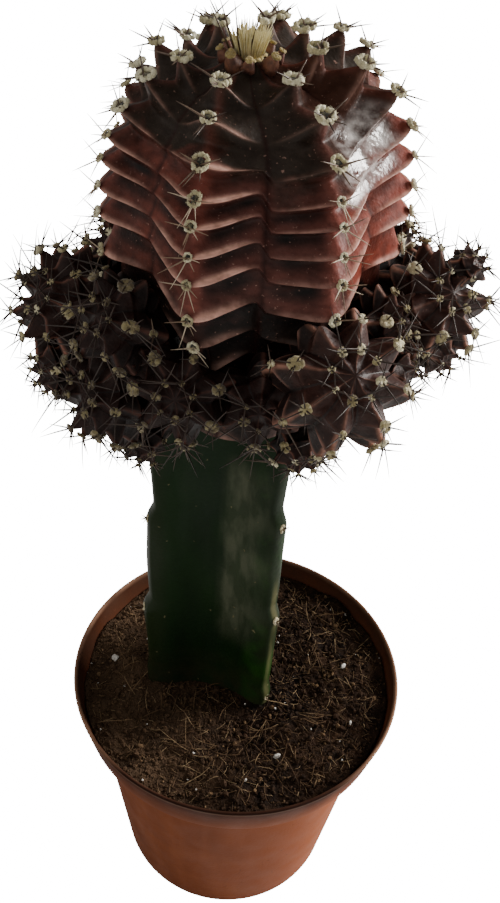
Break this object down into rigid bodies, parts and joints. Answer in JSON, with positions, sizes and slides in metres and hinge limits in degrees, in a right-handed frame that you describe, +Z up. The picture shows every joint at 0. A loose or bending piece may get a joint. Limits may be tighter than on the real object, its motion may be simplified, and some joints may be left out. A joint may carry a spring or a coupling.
{
  "type": "potted moon cactus",
  "caption": "Grafted moon cactus: a ribbed, spiny plum-brown globe with clustered offsets on a winged green rootstock, standing in peat in a small tapered pot.",
  "frame": {"origin": "centre of the pot's flat base, on the surface it stands on", "axes": "+Z up along the pot's axis; -Y is the front, the side seen in the reference view; +X to the viewer's right"},
  "size_m": [0.096, 0.085, 0.2326],
  "materials": {
    "pot": "matte",
    "soil": "matte",
    "rootstock": "satin",
    "scion": "satin",
    "offset": "satin"
  },
  "bodies": {
    "root": {"pot": "pot", "soil": "soil", "rootstock": "rootstock", "scion_head": "scion", "offset_front_right": "offset", "offset_right": "offset", "offset_right_small": "offset", "offset_left": "offset", "offset_front_left": "offset", "offset_left_small": "offset", "offset_front": "offset", "offset_front_small": "offset", "offset_back_right": "offset", "offset_back": "offset", "offset_back_left": "offset"}
  },
  "joints": []
}
